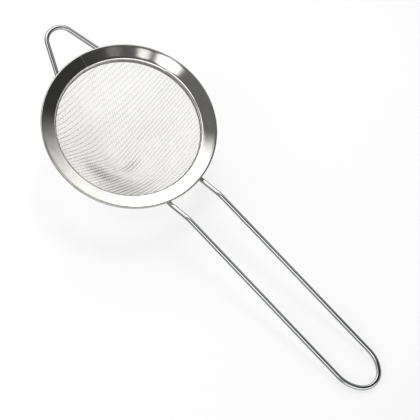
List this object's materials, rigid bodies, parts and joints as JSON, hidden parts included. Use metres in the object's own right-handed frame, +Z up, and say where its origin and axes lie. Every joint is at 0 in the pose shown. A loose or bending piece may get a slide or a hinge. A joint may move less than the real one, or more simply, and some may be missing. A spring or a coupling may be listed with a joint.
{
  "type": "conical strainer",
  "caption": "Cone of wire mesh in a round stamped rim, with a long looped wire handle and a short wire ear to rest it on a cup.",
  "frame": {"origin": "centre of the rim, level with its highest edge", "axes": "+Z up along the cone's axis, tip down; +X from the rim towards the end of the handle"},
  "size_m": [0.2335, 0.085, 0.0543],
  "materials": {
    "rim": "polished stainless steel sheet",
    "clamp_ring": "rolled stainless steel strip",
    "mesh": "plain-woven stainless steel wire cloth",
    "wire": "bright drawn steel wire"
  },
  "bodies": {
    "root": {"rim": "rim", "clamp_ring": "clamp_ring", "mesh_cone": "mesh", "handle": "wire", "ear": "wire"}
  },
  "joints": []
}
